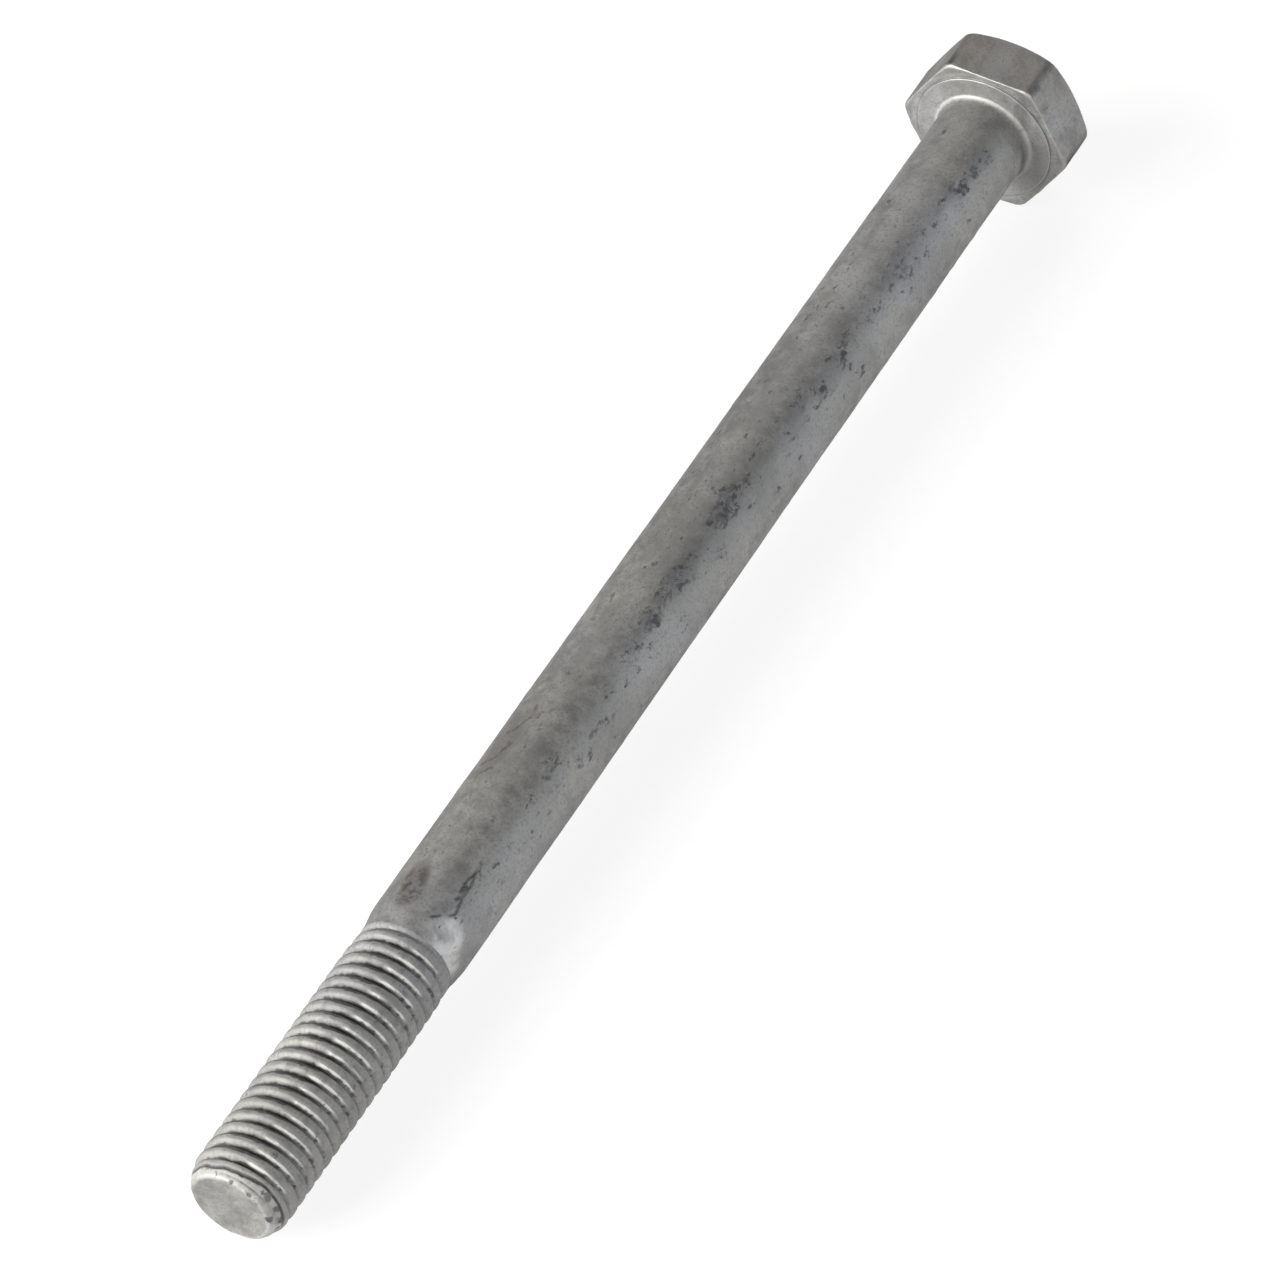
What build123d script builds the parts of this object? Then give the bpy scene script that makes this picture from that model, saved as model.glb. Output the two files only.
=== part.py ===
"""Hex bolt, M10 x 150 to ISO 4014: hexagon head, plain shank and a 32 mm rolled thread.

The bolt is one forging.  It is stored as its three zones, which meet face to face:
the head with the fillet under it, the shank, and the threaded end.  Origin: centre of
the bearing face under the head.  +X runs along the shank to the point, and two flats of
the hexagon face +Z and -Z.
"""
import os
from math import radians, sqrt, tan

from build123d import *

# Driving dimensions, in millimetres
THREAD_D = 10.0            # nominal thread diameter
PITCH = 1.5                # coarse pitch for this diameter
LENGTH = 150.0             # bearing face to point
THREAD_LENGTH = 32.0       # middle of the shoulder to the point, for lengths over 125 mm
ACROSS_FLATS = 16.0        # spanner size
HEAD_HEIGHT = 6.4          # bearing face to top of head
WASHER_FACE_HEIGHT = 0.2   # raised round face under the hexagon
WASHER_FACE_D = 15.0
HEAD_CHAMFER = 30.0        # degrees, on the corners of the top face
HEAD_TOP_CIRCLE = 0.95     # circle left flat on top, as a share of the spanner size
FILLET_RISE = 0.6          # flat oval fillet under the head, across the shank
FILLET_LENGTH = 1.2        # and along it
SHOULDER_LENGTH = 2.4      # drop from the full shank to the rolled blank
NECK_LENGTH = 0.5          # blank left plain beside the thread
NECK_D = 9.4               # blank diameter that the thread is rolled on
CREST_RISE = 4.0           # length over which the crests grow from the blank
POINT_D = 8.0              # flat at the end
POINT_ANGLE = 60.0         # degrees from the flat end, chamfer on the first thread
CUTTER_MARGIN = 0.4        # how far the groove cutter stands proud of the crest

# Worked out from the above
SHANK_R = THREAD_D / 2
NECK_R = NECK_D / 2
POINT_R = POINT_D / 2
CREST_R = SHANK_R - 0.03 * PITCH
GROOVE_DEPTH = 0.6134 * PITCH
SHANK_END = LENGTH - THREAD_LENGTH - SHOULDER_LENGTH / 2
NECK_START = SHANK_END + SHOULDER_LENGTH
THREAD_START = NECK_START + NECK_LENGTH
POINT_LENGTH = (CREST_R - POINT_R) * tan(radians(POINT_ANGLE))


def make_head():
    """Hexagon with its top corners chamfered by a cone, washer face, and root fillet."""
    hex_height = HEAD_HEIGHT - WASHER_FACE_HEIGHT
    corner_r = ACROSS_FLATS / sqrt(3)
    top_r = HEAD_TOP_CIRCLE * ACROSS_FLATS / 2
    hexagon = Plane.YZ * RegularPolygon(ACROSS_FLATS / 2, 6, major_radius=False)
    prism = Pos(X=-HEAD_HEIGHT) * extrude(hexagon, hex_height)
    overshoot = corner_r + 1.0
    drop = (overshoot - top_r) * tan(radians(HEAD_CHAMFER))
    outline = Polyline(
        (-HEAD_HEIGHT, 0), (-HEAD_HEIGHT, top_r), (-HEAD_HEIGHT + drop, overshoot),
        (0, overshoot), (0, 0), close=True)
    cone = revolve(make_face(outline), Axis.X)
    root = [
        Line((-WASHER_FACE_HEIGHT, 0), (-WASHER_FACE_HEIGHT, WASHER_FACE_D / 2)),
        Line((-WASHER_FACE_HEIGHT, WASHER_FACE_D / 2), (0, WASHER_FACE_D / 2)),
        Line((0, WASHER_FACE_D / 2), (0, SHANK_R + FILLET_RISE)),
        EllipticalCenterArc(
            (FILLET_LENGTH, SHANK_R + FILLET_RISE), FILLET_LENGTH, FILLET_RISE, 180, arc_size=90),
        Line((FILLET_LENGTH, SHANK_R), (FILLET_LENGTH, 0)),
        Line((FILLET_LENGTH, 0), (-WASHER_FACE_HEIGHT, 0))]
    return (prism & cone) + revolve(make_face(root), Axis.X)


def make_shank():
    """Full-diameter shank and its drop to the rolled blank."""
    outline = [
        Line((FILLET_LENGTH, 0), (FILLET_LENGTH, SHANK_R)),
        Line((FILLET_LENGTH, SHANK_R), (SHANK_END, SHANK_R)),
        Spline((SHANK_END, SHANK_R), (NECK_START, NECK_R), tangents=[(1, 0), (1, 0)]),
        Line((NECK_START, NECK_R), (NECK_START, 0)),
        Line((NECK_START, 0), (FILLET_LENGTH, 0))]
    return revolve(make_face(outline), Axis.X)


def make_blank():
    """Threaded end before its groove: neck, rise to the crest, and chamfered point."""
    outline = Polyline(
        (NECK_START, 0), (NECK_START, NECK_R), (THREAD_START, NECK_R),
        (THREAD_START + CREST_RISE, CREST_R), (LENGTH - POINT_LENGTH, CREST_R),
        (LENGTH, POINT_R), (LENGTH, 0), close=True)
    return revolve(make_face(outline), Axis.X)


def groove_cutter():
    """Right-hand helical cutter with a 60 degree groove, running out past the point."""
    root_r = CREST_R - GROOVE_DEPTH
    outer_r = CREST_R + CUTTER_MARGIN
    half_root = PITCH / 8
    half_outer = half_root + (outer_r - root_r) * tan(radians(30))
    path = Helix(PITCH, LENGTH - THREAD_START + PITCH, root_r)
    profile = Plane.XZ * make_face(Polyline(
        (root_r, -half_root), (outer_r, -half_outer), (outer_r, half_outer),
        (root_r, half_root), close=True))
    cutter = sweep(profile, path, is_frenet=True)
    return Plane.YZ.offset(THREAD_START) * cutter


def make_thread():
    return make_blank() - groove_cutter()


os.makedirs("parts", exist_ok=True)
nodes = {"head": make_head(), "shank": make_shank(), "thread": make_thread()}
for name, solid in nodes.items():
    export_step(solid, f"parts/{name}.step")
    print(name, solid.is_valid, round(solid.volume, 2), solid.bounding_box())
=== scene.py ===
"""Looks of the hex bolt: a hot-dip galvanised forging lying on a pale table.

Each of the CAD model's three zones is replaced by a finer mesh, within 0.2 mm of its box,
with rounded edges, a rolled thread that fades in from the neck, and a lumpy zinc coat.
Shapes are worked out in millimetres and stored in metres, in the CAD model's frame.
Left and right are -Y and +Y, as seen from the point.
"""
import itertools
import math

import bpy
import numpy as np
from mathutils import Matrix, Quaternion, Vector


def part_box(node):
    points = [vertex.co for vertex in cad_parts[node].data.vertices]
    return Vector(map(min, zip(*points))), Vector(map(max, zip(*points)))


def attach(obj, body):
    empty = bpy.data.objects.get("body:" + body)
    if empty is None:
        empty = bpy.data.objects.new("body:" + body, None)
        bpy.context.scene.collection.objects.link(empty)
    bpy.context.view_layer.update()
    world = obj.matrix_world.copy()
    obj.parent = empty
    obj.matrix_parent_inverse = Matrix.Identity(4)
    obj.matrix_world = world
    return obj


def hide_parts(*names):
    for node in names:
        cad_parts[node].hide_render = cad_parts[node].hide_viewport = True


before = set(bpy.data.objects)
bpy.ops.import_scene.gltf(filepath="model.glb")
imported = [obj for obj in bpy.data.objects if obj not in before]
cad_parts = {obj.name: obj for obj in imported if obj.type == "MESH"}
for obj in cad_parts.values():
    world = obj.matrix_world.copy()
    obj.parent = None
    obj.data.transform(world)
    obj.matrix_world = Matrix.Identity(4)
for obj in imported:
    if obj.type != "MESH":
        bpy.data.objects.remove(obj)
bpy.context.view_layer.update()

MM = 0.001
TAU = 2 * math.pi

# Sizes read from the CAD zones, in millimetres
head_low, head_high = (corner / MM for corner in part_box("head"))
shank_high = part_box("shank")[1] / MM
thread_low, thread_high = (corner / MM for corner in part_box("thread"))
FLAT_R = head_high.z               # hexagon centre to a flat
HEAD_TOP = head_low.x
COLLAR_END = head_high.x           # the root fillet meets the plain shank here
SHANK_R = shank_high.z
NECK_START = thread_low.x
POINT_END = thread_high.x
CREST_R = thread_high.z

# Sizes that the zones' boxes don't give, in millimetres
WASHER_HEIGHT = 0.2
WASHER_R = 7.5
TOP_R = 7.7                        # circle left flat by the top chamfer
CHAMFER = math.radians(30)
CORNER_ROUND = 1.5                 # upright corners of the hexagon
ZINC_ON_FLATS = 0.12               # the dipped coat is thickest on the flats
TOP_EDGE = 0.35                    # rounding of the head's edges, from the top down
SIDE_EDGE = 0.4
LOWER_EDGE = 0.12
LOWER_CORNER = 0.3                 # what the hexagon's corners have on top of the lower edge
WASHER_CREASE = 0.14
WASHER_EDGE = 0.19
FILLET_RISE = 0.6                  # root fillet under the head, across the shank
ZINC_IN_FILLET = 0.7               # what it has more, low down on the side that drained last
NECK_R = 4.7
SHOULDER = 2.4                     # drop from shank to neck
PITCH = 1.5
GROOVE_DEPTH = 0.84
HEAD_FLANK = 4.5                   # power of the crest's fall towards the head: high is full
POINT_FLANK = 2.3                  # and towards the point, which slopes away more gently
GROOVE_START = 119.3               # the first trace of the groove
GROOVE_RISE = 1.9                  # length over which it reaches full depth
CREST_RISE = 3.6
ZINC_ON_CRESTS = -0.07             # and the crests are a little under size
ZINC_IN_GROOVES = 0.45             # share of the depth filled on the side that drained last
POINT_R = 4.0
POINT_SLOPE = 1 / math.sqrt(3)     # chamfer, radius over length
POINT_ROUND = 0.5                  # length taken by the rounded rim of the point's face
RIM_ROUND = 0.85
PALE_INNER_R = 3.5                 # the bare, whitish ring around the point's face
CREST_BLEND = 0.16                 # softness where the crests meet the chamfer
LIP_FROM_END = 0.85                # folded edge round the point, on the left
LIP_SWING = 0.45                   # and how much farther back it lies on the right
LIP_DEPTH = 0.12

# Fineness of the meshes: columns round the bolt and rings along it, or steps in millimetres
HEAD_COLUMNS = 300
SHAFT_COLUMNS = 200
HEAD_STEP = 0.16
SHANK_STEP = 0.3
SHOULDER_RINGS = 24
THREAD_RINGS = 430
FACE_STEP = 0.14

# Colours, as linear red, green, blue and alpha
WARM_ZINC = (0.412, 0.404, 0.385, 1)
COOL_ZINC = (0.398, 0.397, 0.405, 1)
DARK_ZINC = (0.272, 0.270, 0.263, 1)
GRAINS = (0.20, 0.20, 0.20, 1)
# worn zinc on edges and patches, also a painted highlight along the rims and crests
RUBBED_AND_SHEEN = (0.54, 0.54, 0.53, 1)
# chalky zinc at the point, also the painted highlights on the crests and the fillet
CHALKY_AND_HIGHLIGHT = (0.80, 0.80, 0.78, 1)
BROWN = (0.115, 0.098, 0.080, 1)
# grime, also used for painted shade in creases, in grooves and low on the shank's -Y side, and for the
# painted shadow of the shank on the washer face
GRIME_AND_SHADE = (0.085, 0.084, 0.080, 1)
SPECK_HALO = (0.17, 0.172, 0.18, 1)
SPECK = (0.050, 0.053, 0.064, 1)

# Stains on the shank: x in mm, then degrees from the top towards +Y,
# half-length in mm, half-width in degrees, strength
SPECK_PATCHES = (
    (8.4, 34, 4.2, 13, 1.0), (12.4, 29, 0.6, 10, 0.8), (23.5, 29, 4.6, 20, 0.7), (32.0, 38, 1.2, 8, 0.6),
    (34.2, 60, 0.8, 7, 0.7), (40.5, 33, 4.0, 17, 0.85), (46.2, 27, 1.8, 12, 0.8), (55.0, 65, 1.1, 8, 0.75),
    (61.0, 20, 3.8, 17, 0.85), (65.0, 48, 1.6, 8, 0.65), (70.8, 26, 5.0, 17, 1.0), (78.0, 26, 4.2, 13, 0.85),
    (85.8, 36, 1.2, 12, 0.85), (101.0, 3, 0.8, 6, 0.7), (106.0, 11, 1.2, 8, 0.6), (92.0, 54, 3.0, 6, 0.6),
    (98.0, 42, 26.0, 24, 0.52), (42.0, 32, 46.0, 22, 0.45), (112.0, 68, 0.8, 6, 0.8),
    (60.0, -20, 62.0, 30, 0.32), (60.0, 70, 60.0, 20, 0.2), (114.6, -18, 2.8, 15, 0.75))
BROWN_PATCHES = ((114.6, -20, 2.9, 15, 1.0), (96.0, -30, 5.5, 14, 0.3), (80.0, -12, 5.0, 12, 0.2))
SHINY_PATCHES = ((117.6, 42, 2.2, 22, 0.9), (119.0, 60, 1.6, 26, 0.6))
BROWN_LINES = (
    ((91.0, -26), (92.2, -20), (94.0, -29), (94.6, -41)),
    ((96.0, -20), (98.2, -30), (98.7, -43)),
    ((99.2, -23), (100.2, -36)))
BLACK_LINES = (
    ((110.4, 30), (111.8, 26), (113.2, 31), (112.0, 37), (110.4, 30)),
    ((112.6, 36), (114.2, 37), (115.3, 39), (115.8, 34)),
    ((113.4, 36), (114.0, 31)),
    ((116.4, 24), (117.0, 19)))
LINE_WIDTH = 0.26


# ---------------------------------------------------------------- numbers and noise

def smoothstep(low, high, value):
    t = np.clip((value - low) / (high - low), 0, 1)
    return t * t * (3 - 2 * t)


def lattice_noise(points, cell, seed):
    """Smooth random values from -1 to 1 that change over about cell millimetres."""
    grid = points / cell + seed * 17.31
    base = np.floor(grid).astype(np.int64)
    share = grid - base
    share = share * share * (3 - 2 * share)
    total = np.zeros(points.shape[:-1])
    for corner in itertools.product((0, 1), repeat=3):
        lattice = base + corner
        code = lattice[..., 0] * 73856093 ^ lattice[..., 1] * 19349663 ^ lattice[..., 2] * 83492791
        code = ((code ^ (code >> 13)) * 1274126177 + seed * 7919) & 0xFFFFFF
        weight = np.prod(np.where(corner, share, 1 - share), axis=-1)
        total += weight * (code / 0x7FFFFF - 1)
    return total


def zinc_coat(points):
    """Thickness that the dipped coat adds or takes away, in millimetres."""
    waves = 0.022 * lattice_noise(points, 7.0, 1) + 0.012 * lattice_noise(points, 2.4, 2)
    ripple = 0.006 * lattice_noise(points, 0.9, 3)
    lumps = 0.045 * smoothstep(0.45, 0.95, lattice_noise(points, 1.5, 4))
    pits = -0.03 * smoothstep(0.55, 0.95, lattice_noise(points, 1.1, 5))
    return waves + ripple + lumps + pits


# ---------------------------------------------------------------- turned surfaces

def grid_normals(rings):
    along = np.gradient(rings, axis=0)
    around = np.roll(rings, -1, axis=1) - np.roll(rings, 1, axis=1)
    normals = np.cross(around, along)
    return normals / np.maximum(np.linalg.norm(normals, axis=-1, keepdims=True), 1e-12)


def grid_curvature(rings, normals):
    """Positive on outward edges and negative in creases, in 1/mm."""
    total = np.zeros(rings.shape[:2])
    for axis in (0, 1):
        ahead = np.roll(rings, -1, axis=axis) - rings
        behind = rings - np.roll(rings, 1, axis=axis)
        gap_a = np.maximum(np.linalg.norm(ahead, axis=-1, keepdims=True), 0.01)
        gap_b = np.maximum(np.linalg.norm(behind, axis=-1, keepdims=True), 0.01)
        bend = 2 * (ahead / gap_a - behind / gap_b) / (gap_a + gap_b)
        part = -np.sum(bend * normals, axis=-1)
        if axis == 0:
            part[0] = part[-1] = 0
        total += part
    return total


def turned_piece(name, rings, marks, coat=1.0, start_pole=False, end_pole=False):
    """Closed mesh from rings of points (rings, columns, 3) in millimetres.

    marks gives the material's values at the points, by name; any that it leaves out are
    zero.  A pole ends the surface in a smooth centre point; any other end gets a flat disc.
    """
    normals = grid_normals(rings)
    # wear on outward edges: lighter worn zinc, and a painted highlight along the rims and crests
    marks = {"wear_and_sheen": 0.45 * smoothstep(0.9, 3.0, grid_curvature(rings, normals)), **marks}
    rings = rings + normals * (coat * zinc_coat(rings))[..., None]
    count, columns = rings.shape[:2]
    centres = [rings[0].mean(axis=0), rings[-1].mean(axis=0)]
    points = np.concatenate([rings.reshape(-1, 3), centres]) * MM
    faces = []
    for i in range(count - 1):
        for j in range(columns):
            k = (j + 1) % columns
            faces.append((i * columns + j, i * columns + k, (i + 1) * columns + k, (i + 1) * columns + j))
    last = (count - 1) * columns
    for j in range(columns):
        k = (j + 1) % columns
        faces.append((k, j, count * columns))
        faces.append((last + j, last + k, count * columns + 1))
    mesh = bpy.data.meshes.new(name)
    mesh.from_pydata(points.tolist(), [], faces)
    mesh.update()
    mesh.polygons.foreach_set("use_smooth", np.ones(len(faces), bool))
    mark_open_ends(mesh, columns, count, start_pole, end_pole)
    for mark in ("wear_and_sheen", "dirt_and_shade", "specks", "brown", "pale", "matte"):
        values = np.broadcast_to(marks.get(mark, 0.0), (count, columns)).reshape(-1)
        values = np.concatenate([values, [values[0], values[-1]]]).astype(np.float32)
        mesh.attributes.new(mark, "FLOAT", "POINT").data.foreach_set("value", values)
    piece = bpy.data.objects.new(name, mesh)
    bpy.context.scene.collection.objects.link(piece)
    return piece


def mark_open_ends(mesh, columns, count, start_pole, end_pole):
    """Sharp edges where a flat disc closes an end, so that the side's shading stays true."""
    rims = []
    if not start_pole:
        rims.append((0, columns))
    if not end_pole:
        rims.append(((count - 1) * columns, count * columns))
    sharp = np.zeros(len(mesh.edges), bool)
    ends = np.zeros(len(mesh.edges) * 2, int)
    mesh.edges.foreach_get("vertices", ends)
    ends = ends.reshape(-1, 2)
    for low, high in rims:
        sharp |= ((ends >= low) & (ends < high)).all(axis=1)
    attribute = mesh.attributes.get("sharp_edge") or mesh.attributes.new("sharp_edge", "BOOLEAN", "EDGE")
    attribute.data.foreach_set("value", sharp)


def around(columns):
    return np.arange(columns) * TAU / columns


def place(x, r, angle):
    """Points at distance r from the bolt's axis; the angle runs from +Y towards +Z."""
    x, r, angle = np.broadcast_arrays(x, r, angle)
    return np.stack([x, r * np.cos(angle), r * np.sin(angle)], axis=-1)


def rounded_outline(corners, radii, spacing):
    """Points along a polyline in (x, r) whose inner corners are arcs.

    corners is (points, columns, 2): every column has its own outline, and all columns
    get the same number of points.  radii has an entry for each inner corner: one value,
    or a column of values.
    """
    rows = [corners[0]]
    last = corners[0]
    for i, radius in enumerate(radii, start=1):
        here = corners[i]
        into = here - corners[i - 1]
        out = corners[i + 1] - here
        len_in = np.linalg.norm(into, axis=-1, keepdims=True)
        len_out = np.linalg.norm(out, axis=-1, keepdims=True)
        into, out = into / len_in, out / len_out
        turn = np.arccos(np.clip(np.sum(into * out, axis=-1, keepdims=True), -1, 1))
        setback = np.minimum(radius * np.tan(turn / 2), 0.48 * np.minimum(len_in, len_out))
        start, end = here - into * setback, here + out * setback
        rows += straight(last, start, spacing)
        arc_steps = max(5, math.ceil(np.max(radius) * 1.6 / spacing))
        for step in range(1, arc_steps + 1):
            t = step / arc_steps
            weight = conic_weights(t, turn)
            rows.append((weight[0] * start + weight[1] * here + weight[2] * end) / sum(weight))
        last = end
    rows += straight(last, corners[-1], spacing)
    return np.array(rows)


def conic_weights(t, turn):
    """Weights that make a three-point curve an exact arc through the given turn."""
    return (1 - t) ** 2, 2 * t * (1 - t) * np.cos(turn / 2), t ** 2 + 0 * turn


def straight(start, end, spacing):
    length = np.linalg.norm(end - start, axis=-1).max()
    steps = max(1, math.ceil(length / spacing))
    return [start + (end - start) * (step / steps) for step in range(1, steps + 1)]


# ---------------------------------------------------------------- the three zones

def corner_offset(angle):
    """Angle from the nearest corner of the hexagon, whose flats face +Z and -Z."""
    sector = TAU / 6
    return (angle + sector / 2) % sector - sector / 2


def hexagon_radius(angle):
    """Distance from the axis to the hexagon with its corners rounded."""
    flat_r = FLAT_R + ZINC_ON_FLATS
    local = corner_offset(angle)
    flat = flat_r / np.cos(TAU / 12 - np.abs(local))
    centre = (flat_r - CORNER_ROUND) / math.cos(TAU / 12)
    inside = CORNER_ROUND ** 2 - (centre * np.sin(local)) ** 2
    arc = centre * np.cos(local) + np.sqrt(np.maximum(inside, 0))
    on_arc = np.abs(centre * np.sin(local)) < CORNER_ROUND * 0.5
    return np.where(on_arc, np.minimum(arc, flat), flat)


def degrees_from_top(angle):
    """From the top towards +Y, between -180 and 180."""
    return (90 - np.degrees(angle) + 180) % 360 - 180


def fillet_rise(angle):
    """The zinc that drained last makes the fillet fuller low down on the +Y side."""
    from_top = degrees_from_top(angle)
    return FILLET_RISE + ZINC_IN_FILLET * smoothstep(70, 125, from_top) * smoothstep(175, 150, from_top)


def root_fillet(angle):
    """Rings of the flat oval fillet between the bearing face and the shank."""
    turn = np.linspace(0, TAU / 4, 16)[1:, None]
    x = COLLAR_END * (1 - np.cos(turn))
    r = SHANK_R + fillet_rise(angle) * (1 - np.sin(turn))
    return place(x, r, angle)


def head_marks(rings, angle):
    """Painted shade in the washer face's crease, a dark line down the corners, the painted shadow of the
    shank low on the washer face's +Y side, and a painted highlight as a pale line on the fillet.
    """
    x, r = rings[..., 0], np.hypot(rings[..., 1], rings[..., 2])
    # painted shade in the crease where the washer's rim meets the underside of the hexagon
    crease_shade = smoothstep(0.3, 0.05, np.hypot(x + WASHER_HEIGHT, r - WASHER_R))
    crease_shade = crease_shade * (0.45 + 0.55 * smoothstep(-0.3, 0.4, lattice_noise(rings, 1.3, 41)))
    upright = smoothstep(0.085, 0.0, np.abs(corner_offset(angle))) * smoothstep(8.3, 8.6, r)
    upright = upright * (0.25 + 0.6 * smoothstep(-3.4, -0.8, x)) * smoothstep(-0.25, -0.7, x)
    from_top = degrees_from_top(angle)
    # painted shadow of the shank, low on the +Y side of the washer face and fillet
    shank_shadow = 0.32 * smoothstep(40, 95, from_top) * smoothstep(150, 120, from_top)
    shank_shadow = shank_shadow * smoothstep(-0.5, -0.1, x)
    return {
        "dirt_and_shade": np.maximum(np.maximum(0.6 * crease_shade, upright), shank_shadow),
        "specks": -0.3,                                         # below zero thins the stray specks
        "brown": 0.35 * smoothstep(8.0, 8.3, r),
        # pale: a painted highlight, a thin pale ring round the fillet
        "pale": 0.25 * smoothstep(0.28, 0.05, np.abs(r - SHANK_R - 0.36)) * smoothstep(-0.1, 0.1, x)}


def make_head():
    """Hexagon, top chamfer, washer face and root fillet, with every edge rounded."""
    angle = around(HEAD_COLUMNS)
    angle = angle - 0.035 * np.sin(6 * angle)                   # more columns near the corners
    side = hexagon_radius(angle)
    near_corner = smoothstep(0.28, 0.02, np.abs(corner_offset(angle)))
    top_r = np.minimum(TOP_R, side - 0.2)
    drop = (side - top_r) * math.tan(CHAMFER)
    flange = -WASHER_HEIGHT
    outline = [
        (HEAD_TOP, 0.25), (HEAD_TOP, top_r), (HEAD_TOP + drop, side), (flange, side),
        (flange, WASHER_R), (0, WASHER_R), (0, SHANK_R + fillet_rise(angle))]
    corners = np.array([np.stack(np.broadcast_arrays(x, r, angle)[:2], axis=-1) for x, r in outline])
    lower_edge = (LOWER_EDGE + LOWER_CORNER * near_corner)[:, None]
    rounding = [TOP_EDGE, SIDE_EDGE, lower_edge, WASHER_CREASE, WASHER_EDGE]
    rows = rounded_outline(corners, rounding, HEAD_STEP)
    rings = np.concatenate([place(rows[..., 0], rows[..., 1], angle), root_fillet(angle)])
    return turned_piece("bolt_head", rings, head_marks(rings, angle), start_pole=True)


def patches(x, degrees, places):
    """Soft oval patches that fade from their middle to their edge."""
    total = np.zeros(np.broadcast(x, degrees).shape)
    for middle, turn, half_length, half_width, strength in places:
        away = ((x - middle) / half_length) ** 2 + ((degrees - turn) / half_width) ** 2
        total = np.maximum(total, strength * smoothstep(1.5, 0.2, away))
    return total


def lines(x, degrees, routes):
    """Thin marks along routes of points, 1 on the line and 0 beyond its width."""
    total = np.zeros(np.broadcast(x, degrees).shape)
    arc = np.radians(degrees) * SHANK_R
    for route in routes:
        for (x_a, turn_a), (x_b, turn_b) in itertools.pairwise(route):
            arc_a, arc_b = math.radians(turn_a) * SHANK_R, math.radians(turn_b) * SHANK_R
            dx, da = x_b - x_a, arc_b - arc_a
            t = np.clip(((x - x_a) * dx + (arc - arc_a) * da) / (dx * dx + da * da), 0, 1)
            away = np.hypot(x - x_a - t * dx, arc - arc_a - t * da)
            total = np.maximum(total, smoothstep(LINE_WIDTH, 0.3 * LINE_WIDTH, away))
    return total


def make_shank():
    """Plain shank with its stains and the drop to the rolled neck."""
    plain_end = NECK_START - SHOULDER
    x = np.concatenate([
        np.arange(COLLAR_END, plain_end, SHANK_STEP),
        np.linspace(plain_end, NECK_START, SHOULDER_RINGS)])[:, None]
    drop = smoothstep(plain_end - 0.3, NECK_START - 0.1, x)
    r = SHANK_R + (NECK_R - SHANK_R) * drop
    angle = around(SHAFT_COLUMNS)
    rings = place(x, r, angle)
    wander = 7 * lattice_noise(rings, 2.2, 11)
    degrees = degrees_from_top(angle) + wander
    # painted shade: the shank darker low on its -Y side
    painted_left_shade = 0.16 * smoothstep(-22, -48, degrees) * smoothstep(-120, -90, degrees)
    marks = {
        "wear_and_sheen": patches(x, degrees, SHINY_PATCHES),
        "pale": 0.35 * patches(x, degrees, SHINY_PATCHES),
        "specks": patches(x, degrees, SPECK_PATCHES),
        "dirt_and_shade": np.maximum(0.9 * lines(x, degrees, BLACK_LINES), painted_left_shade),
        "brown": np.maximum(patches(x, degrees, BROWN_PATCHES), 0.8 * lines(x, degrees, BROWN_LINES))}
    return turned_piece("bolt_shank", rings, marks)


def from_crest(phase):
    """Place within one pitch: 0 on the crest, negative towards the head, 0.5 in a groove."""
    return (phase + 0.5) % 1 - 0.5


def ridge(phase):
    """Height of the thread over one pitch, 1 on the crest.

    It is full on the side towards the head and falls more gently towards the point.
    """
    fine = np.linspace(-0.5, 0.5, 401)
    form = 1 - np.abs(2 * fine) ** np.where(fine < 0, HEAD_FLANK, POINT_FLANK)
    blur = np.exp(-0.5 * (np.linspace(-0.15, 0.15, 121) / 0.022) ** 2)
    form = np.convolve(np.tile(form[:-1], 3), blur / blur.sum(), "same")[400:801]
    return np.interp(from_crest(phase), fine, form)


def groove_dirt_and_shade(phase, from_top):
    """Dirt and painted shade in the groove: higher on the flank that faces the head, away from the light,
    and most of it on top.

    from_top is the angle from the top towards +Y, in degrees.
    """
    local = from_crest(phase)
    on_top = np.exp(-((from_top - 3) / 28) ** 2)
    on_left = smoothstep(25, -5, from_top)
    head_side = smoothstep(0.26, 0.32, -local + 0.15 * on_left + 0.07 * on_top)
    point_side = smoothstep(0.34, 0.40, local)
    strength = 0.85 - 0.7 * smoothstep(12, 45, from_top) + 0.15 * on_top
    return np.maximum(head_side, point_side) * strength


def grit_and_groove_shade(phase, from_top, grain):
    """Dark dots along the grooves on the right, where the pale lines end: partly grime, partly painted shade
    in the grooves.
    """
    local = from_crest(phase)
    by_groove = smoothstep(0.26, 0.36, np.abs(local))
    dark_dots = 0.85 * smoothstep(0.1, 0.4, grain) * by_groove
    return dark_dots * smoothstep(18, 32, from_top) * smoothstep(100, 75, from_top)


def crest_highlight(phase, from_top):
    """Painted highlight: a thin pale line on the point side of the crests, a little right of the top."""
    local = from_crest(phase)
    line = smoothstep(0.08, 0.04, np.abs(local - 0.29))
    return 1.6 * line * smoothstep(4, 16, from_top) * smoothstep(68, 50, from_top)


def thread_profile(x, phase, from_top):
    """Radius of the thread before its point is cut, and how far the groove has faded in."""
    shown = smoothstep(GROOVE_START - 0.6, GROOVE_START + GROOVE_RISE, x)
    crest_r = CREST_R + ZINC_ON_CRESTS
    crest = NECK_R + (crest_r - NECK_R) * smoothstep(NECK_START, NECK_START + CREST_RISE, x)
    filled = ZINC_IN_GROOVES * smoothstep(5, 60, from_top) * smoothstep(175, 130, from_top)
    return crest - GROOVE_DEPTH * (1 - filled) * shown * (1 - ridge(phase)), shown


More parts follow.
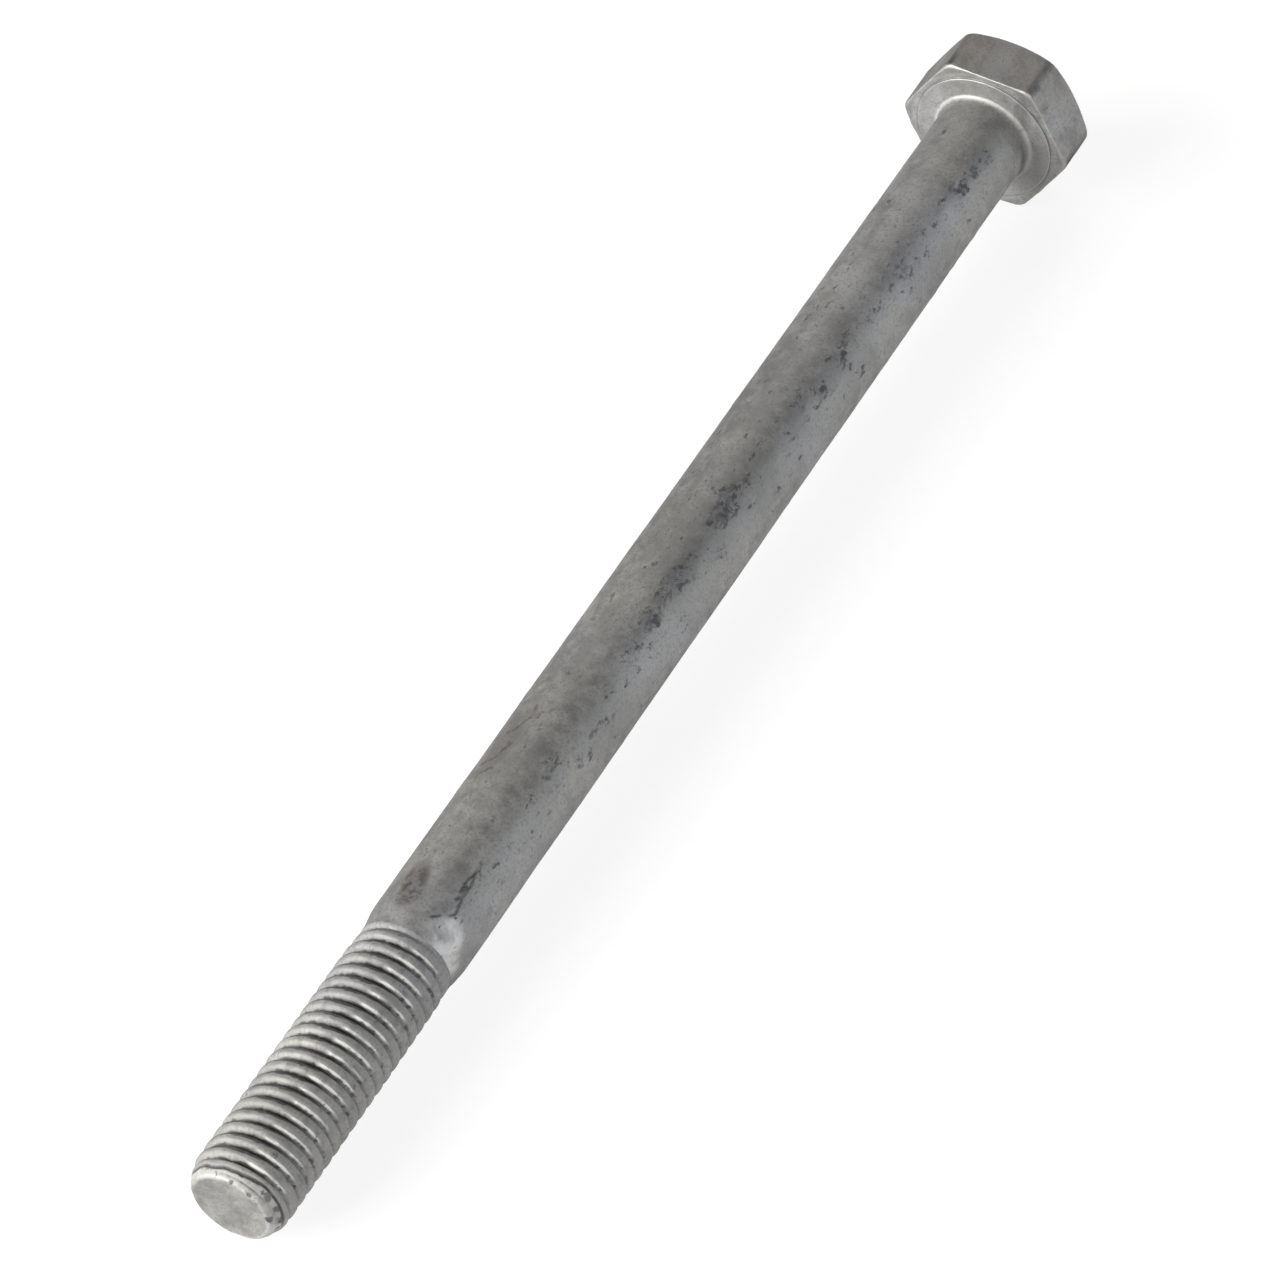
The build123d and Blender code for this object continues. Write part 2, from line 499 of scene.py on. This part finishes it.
def folded_lip(x, angle, from_top):
    """Where the rolled metal folded over the edge of the point: its place and its strength."""
    lip_x = POINT_END - LIP_FROM_END - LIP_SWING * smoothstep(-25, 45, from_top)
    folded = smoothstep(-90, -60, from_top) * smoothstep(115, 90, from_top)
    wander = 0.1 * lattice_noise(place(x, 4.5, angle), 1.0, 35)
    return lip_x, smoothstep(0.2, 0.07, np.abs(x - lip_x + wander)) * folded


def point_face(angle, rim_r):
    """Points (x, r) of the rounded rim and the flat face at the end, from radius rim_r inwards."""
    face = np.array([
        (POINT_END - POINT_ROUND, rim_r), (POINT_END, rim_r - POINT_SLOPE * POINT_ROUND), (POINT_END, 0.2)])
    corners = np.repeat(face[:, None, :], len(angle), axis=1)
    return rounded_outline(corners, [RIM_ROUND], FACE_STEP)[1:]


def point_marks(rings, lip_x, from_top):
    """The pale, chipped ring past the folded edge, and a duller surface up to the end face."""
    r = np.hypot(rings[..., 1], rings[..., 2])
    on_point = smoothstep(lip_x + 0.1, lip_x + 0.25, rings[..., 0])
    rim = on_point * smoothstep(PALE_INNER_R, PALE_INNER_R + 0.3, r)
    scuffed = 0.3 * smoothstep(5, 30, from_top) * smoothstep(130, 100, from_top)
    notched = smoothstep(0.42, 0.6, lattice_noise(rings, 0.6, 21) + scuffed)
    on_face = rings[..., 0] >= POINT_END - POINT_ROUND
    return {
        "wear_and_sheen": 0.0,                                            # no polish on the sharp crests
        "dirt_and_shade": 0.8 * rim * notched,
        "matte": smoothstep(POINT_END - 0.02, POINT_END - 0.3, rings[..., 0]),
        "pale": 0.28 * rim * (1 - notched),
        "specks": 0.6 * rim - 0.3 * on_face}


def make_thread():
    """Right-hand thread that fades in from the neck, and the chamfered point."""
    angle = around(SHAFT_COLUMNS)
    face_start = POINT_END - POINT_ROUND
    x = np.linspace(NECK_START, face_start, THREAD_RINGS)[:, None]
    phase = (x - GROOVE_START) / PITCH - angle / TAU + 0.5
    from_top = degrees_from_top(angle)
    thread, shown = thread_profile(x, phase, from_top)
    cone = POINT_R + POINT_SLOPE * (POINT_END - x)
    lip_x, lip = folded_lip(x, angle, from_top)
    r = np.minimum(thread, cone) - CREST_BLEND * np.exp(-np.abs(thread - cone) / (2 * CREST_BLEND))
    r = r - LIP_DEPTH * lip
    rows = point_face(angle, r[-1].mean())
    rings = np.concatenate([place(x, r, angle), place(rows[..., 0], rows[..., 1], angle)])
    side = rings[:len(x)]
    fine = lattice_noise(side, 0.35, 32)
    ragged = phase + 0.05 * lattice_noise(side, 0.9, 31) + 0.06 * fine
    threaded = shown * smoothstep(0.0, 0.5, cone - thread)
    smears = 0.3 * smoothstep(0.1, 0.8, lattice_noise(side, 0.6, 34))
    # dirt and painted shade in the grooves, with the dark dots beside them
    groove_darkening = np.maximum(groove_dirt_and_shade(ragged, from_top), grit_and_groove_shade(phase, from_top, fine))
    # the folded lip also darkens the colour along the fold
    dirt_and_shade = np.maximum(np.maximum(groove_darkening, smears) * threaded, lip)
    breaks = smoothstep(-0.9, -0.3, lattice_noise(side, 1.6, 33))
    # painted highlight: thin pale line along the crests
    line = crest_highlight(phase, from_top) * threaded * breaks
    marks = point_marks(rings, lip_x, from_top)
    no_marks = np.zeros(rows.shape[:2])
    marks["dirt_and_shade"] = np.concatenate([dirt_and_shade, no_marks]) + marks["dirt_and_shade"]
    marks["pale"] = np.concatenate([line, no_marks]) + marks["pale"]
    return turned_piece("bolt_thread", rings, marks, coat=1.2, end_pole=True)


# ---------------------------------------------------------------- material

def add(tree, kind, inputs, **settings):
    """New node; inputs maps sockets to values or to other nodes' outputs."""
    made = tree.nodes.new(kind)
    for name, value in settings.items():
        setattr(made, name, value)
    for socket, value in inputs.items():
        if isinstance(value, bpy.types.NodeSocket):
            tree.links.new(value, made.inputs[socket])
        else:
            made.inputs[socket].default_value = value
    return made


def noise(tree, position, size, detail=4.0, roughness=0.6, distortion=0.0):
    """Noise whose largest features are about size millimetres across."""
    inputs = {
        "Vector": position, "Scale": 1 / size, "Detail": detail, "Roughness": roughness,
        "Distortion": distortion}
    return add(tree, "ShaderNodeTexNoise", inputs).outputs[0]


def ramp(tree, value, low, high, start=0.0, end=1.0):
    inputs = {"Value": value, "From Min": low, "From Max": high, "To Min": start, "To Max": end}
    return add(tree, "ShaderNodeMapRange", inputs, interpolation_type="SMOOTHSTEP").outputs[0]


def maths(tree, operation, a, b):
    return add(tree, "ShaderNodeMath", {0: a, 1: b}, operation=operation).outputs[0]


def mark(tree, name):
    return add(tree, "ShaderNodeAttribute", {}, attribute_name=name).outputs["Fac"]


def tint(tree, share, under, over):
    """Colour that goes from under to over as share goes from 0 to 1."""
    return add(tree, "ShaderNodeMix", {0: share, 6: under, 7: over}, data_type="RGBA").outputs[2]


def speck_mask(tree, position):
    """Tangled dark threads and blots, where the mesh's specks value is high."""
    drawn = add(tree, "ShaderNodeVectorMath", {0: position, 1: (0.6, 1.0, 1.0)}, operation="MULTIPLY")
    drawn = drawn.outputs[0]
    gathering = ramp(tree, noise(tree, position, 3.2, 2.0), 0.38, 0.6, 0.35, 1.1)
    specks = maths(tree, "MULTIPLY", mark(tree, "specks"), gathering)
    tangle = noise(tree, drawn, 1.3, 3.0, 0.6, 0.9)
    off_line = maths(tree, "ABSOLUTE", maths(tree, "SUBTRACT", tangle, 0.5), 0.0)
    threads = maths(tree, "MULTIPLY", ramp(tree, off_line, 0.04, 0.01), ramp(tree, specks, 0.35, 0.95))
    blots = maths(tree, "ADD", maths(tree, "MULTIPLY", specks, 0.2), noise(tree, drawn, 0.8, 4.0, 0.62))
    marked = maths(tree, "MAXIMUM", threads, ramp(tree, blots, 0.635, 0.735))
    return maths(tree, "MULTIPLY", marked, ramp(tree, noise(tree, position, 0.9, 2.0), 0.4, 0.6, 0.6, 1.0))


def clean_zinc(tree, position, mottle, grain):
    """Mottled grey of the bare coat, warmer and cooler in patches, with dark grains."""
    clouds = noise(tree, position, 9.0, 3.0)
    tone = maths(tree, "ADD", maths(tree, "MULTIPLY", clouds, 0.45), maths(tree, "MULTIPLY", mottle, 0.55))
    coolness = ramp(tree, noise(tree, position, 14.0, 2.0), 0.4, 0.6)
    light = tint(tree, coolness, WARM_ZINC, COOL_ZINC)
    colour = tint(tree, ramp(tree, tone, 0.36, 0.64), DARK_ZINC, light)
    return tint(tree, ramp(tree, grain, 0.45, 0.7, 0.0, 0.5), colour, GRAINS)


def soiled(tree, colour, mottle, specks):
    """Brown stains, caked grime with painted shade and painted shadow, and black specks over the given
    colour.
    """
    stained = maths(tree, "MULTIPLY", mark(tree, "brown"), ramp(tree, mottle, 0.42, 0.55, 0.15, 0.9))
    colour = tint(tree, stained, colour, BROWN)
    grime_and_shade_share = maths(tree, "MULTIPLY", mark(tree, "dirt_and_shade"), ramp(tree, mottle, 0.36, 0.52, 0.55, 0.95))
    colour = tint(tree, grime_and_shade_share, colour, GRIME_AND_SHADE)
    halo = ramp(tree, mark(tree, "specks"), 0.3, 1.1, 0.0, 0.35)
    colour = tint(tree, halo, colour, SPECK_HALO)
    return tint(tree, maths(tree, "MULTIPLY", specks, 0.82), colour, SPECK)


def zinc_roughness(tree, mottle, worn_and_sheen, bare_and_highlight, matte):
    rough = ramp(tree, mottle, 0.35, 0.65, 0.50, 0.66)
    rough = maths(tree, "SUBTRACT", rough, maths(tree, "MULTIPLY", worn_and_sheen, 0.24))
    rough = maths(tree, "ADD", rough, maths(tree, "MULTIPLY", bare_and_highlight, 0.15))
    return maths(tree, "ADD", rough, maths(tree, "MULTIPLY", matte, 0.12))


def zinc_metallic(tree, specks, bare_and_highlight, matte):
    """Less metallic where specks, chalky zinc, painted highlight lines or a dull surface cover the metal."""
    covered = maths(tree, "MAXIMUM", specks, maths(tree, "MULTIPLY", bare_and_highlight, 0.8))
    covered = maths(tree, "MAXIMUM", covered, maths(tree, "MULTIPLY", matte, 0.5))
    return maths(tree, "SUBTRACT", 0.88, maths(tree, "MULTIPLY", covered, 0.5))


def zinc_bump(tree, mottle, grain):
    patchy = ramp(tree, mottle, 0.38, 0.6)
    height = maths(tree, "ADD", mottle, maths(tree, "MULTIPLY", grain, 0.35))
    height = maths(tree, "SUBTRACT", height, maths(tree, "MULTIPLY", patchy, 0.1))
    return add(tree, "ShaderNodeBump", {"Strength": 1.0, "Distance": 0.00003, "Height": height}).outputs[0]


def galvanised():
    """Matte zinc: mottled grey, black specks, brown stains, grooves and creases darkened by grime and
    painted shade, and edges lightened by rubbing and painted highlights.
    """
    material = bpy.data.materials.new("galvanised_steel")
    material.use_nodes = True
    tree = material.node_tree
    shader = tree.nodes["Principled BSDF"]
    metres = add(tree, "ShaderNodeTexCoord", {}).outputs["Object"]
    position = add(tree, "ShaderNodeVectorMath", {0: metres, "Scale": 1000.0}, operation="SCALE").outputs[0]
    mottle = noise(tree, position, 1.6, 6.0, 0.68)
    grain = noise(tree, position, 0.28, 3.0, 0.6)
    specks = speck_mask(tree, position)
    matte = mark(tree, "matte")
    worn_and_sheen = maths(tree, "MULTIPLY", mark(tree, "wear_and_sheen"), ramp(tree, mottle, 0.35, 0.6, 0.45, 1.0))
    bare_and_highlight = maths(tree, "MULTIPLY", mark(tree, "pale"), ramp(tree, mottle, 0.40, 0.54, 0.4, 1.0))

    colour = clean_zinc(tree, position, mottle, grain)
    colour = tint(tree, worn_and_sheen, colour, RUBBED_AND_SHEEN)
    colour = tint(tree, bare_and_highlight, colour, CHALKY_AND_HIGHLIGHT)
    tree.links.new(soiled(tree, colour, mottle, specks), shader.inputs["Base Color"])
    tree.links.new(zinc_roughness(tree, mottle, worn_and_sheen, bare_and_highlight, matte), shader.inputs["Roughness"])
    tree.links.new(zinc_metallic(tree, specks, bare_and_highlight, matte), shader.inputs["Metallic"])
    tree.links.new(zinc_bump(tree, mottle, grain), shader.inputs["Normal"])
    shader.inputs["Specular Tint"].default_value = (0.3, 0.3, 0.3, 1)
    return material


# ---------------------------------------------------------------- stage and camera

def make_floor():
    """Pale table under the bolt, tilted to touch a flat of the head and nearly the thread."""
    head_rest = Vector((-WASHER_HEIGHT, 0, -FLAT_R)) * MM
    thread_rest = Vector((POINT_END - PITCH, 0, -CREST_R)) * MM
    slope = (thread_rest.z - head_rest.z) / (thread_rest.x - head_rest.x)
    half_size = 6.0
    middle = 0.07
    coat_room = 0.00008                                         # most of the zinc on the lowest flat
    height = head_rest.z + slope * (middle - head_rest.x) - coat_room
    corners = [(sx * half_size, sy * half_size) for sx, sy in ((-1, -1), (1, -1), (1, 1), (-1, 1))]
    mesh = bpy.data.meshes.new("floor")
    mesh.from_pydata([(middle + x, y, height + slope * x) for x, y in corners], [], [(0, 1, 2, 3)])
    floor = bpy.data.objects.new("floor", mesh)
    bpy.context.scene.collection.objects.link(floor)
    paper = bpy.data.materials.new("pale_paper")
    paper.use_nodes = True
    shader = paper.node_tree.nodes["Principled BSDF"]
    shader.inputs["Base Color"].default_value = (0.27, 0.27, 0.27, 1)
    shader.inputs["Roughness"].default_value = 0.9
    shader.inputs["Emission Color"].default_value = (1, 1, 1, 1)
    shader.inputs["Emission Strength"].default_value = 0.80
    mesh.materials.append(paper)


def area_light(name, target, azimuth, elevation, distance, size, watts, colour=(1, 1, 1)):
    """A square softbox aimed at target; angles in degrees, azimuth as for the camera."""
    azimuth, elevation = math.radians(azimuth), math.radians(elevation)
    back = Vector((math.sin(azimuth) * math.cos(elevation),
                   -math.cos(azimuth) * math.cos(elevation), math.sin(elevation)))
    data = bpy.data.lights.new(name, "AREA")
    data.size = size
    data.energy = watts
    data.color = colour
    lamp = bpy.data.objects.new(name, data)
    lamp.location = target + back * distance
    lamp.rotation_euler = back.to_track_quat("Z", "Y").to_euler()
    bpy.context.scene.collection.objects.link(lamp)


def make_lights():
    """Softboxes: two at the point end, and two past the head; the sky is darker overhead."""
    target = Vector((0.075, 0, 0))
    area_light("point_side", target, 50, 22, 1.2, 0.9, 27.0, (1.0, 0.99, 0.955))
    area_light("low_right", target, 125, 34, 0.9, 0.3, 1.7)
    area_light("head_left", target, 299, 38, 0.9, 0.6, 1.15, (1.0, 0.965, 0.915))
    area_light("head_right", target, 221, 18, 0.9, 0.7, 1.6, (0.86, 0.91, 1.0))
    world = bpy.data.worlds.new("studio")
    world.use_nodes = True
    tree = world.node_tree
    direction = add(tree, "ShaderNodeTexCoord", {}).outputs["Generated"]
    height = add(tree, "ShaderNodeSeparateXYZ", {0: direction}).outputs["Z"]
    background = tree.nodes["Background"]
    background.inputs["Color"].default_value = (1, 1, 1, 1)
    tree.links.new(ramp(tree, height, 0.15, 0.9, 0.5, 0.1), background.inputs["Strength"])
    bpy.context.scene.world = world


def make_camera():
    """Long lens from above, at the point end and to the side, rolled by about a degree."""
    data = bpy.data.cameras.new("camera")
    data.sensor_width = 36.0
    data.lens = 160.8
    data.clip_start, data.clip_end = 0.01, 20
    camera = bpy.data.objects.new("camera", data)
    place_mm = Vector((385.1, 161.1, 411.4))
    aim_mm = Vector((75.68, 0.72, -0.32))
    back = (place_mm - aim_mm).normalized()
    turn = back.to_track_quat("Z", "Y")
    roll = math.radians(0.89)
    camera.location = place_mm * MM
    camera.rotation_mode = "QUATERNION"
    camera.rotation_quaternion = turn @ Quaternion((0, 0, 1), roll)
    bpy.context.scene.collection.objects.link(camera)
    bpy.context.scene.camera = camera


# ---------------------------------------------------------------- build

steel = galvanised()
for node, make in (("head", make_head), ("shank", make_shank), ("thread", make_thread)):
    piece = make()
    piece.data.materials.append(steel)
    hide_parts(node)
    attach(piece, "root")

make_floor()
make_lights()
make_camera()
bpy.context.scene.view_settings.view_transform = "Standard"
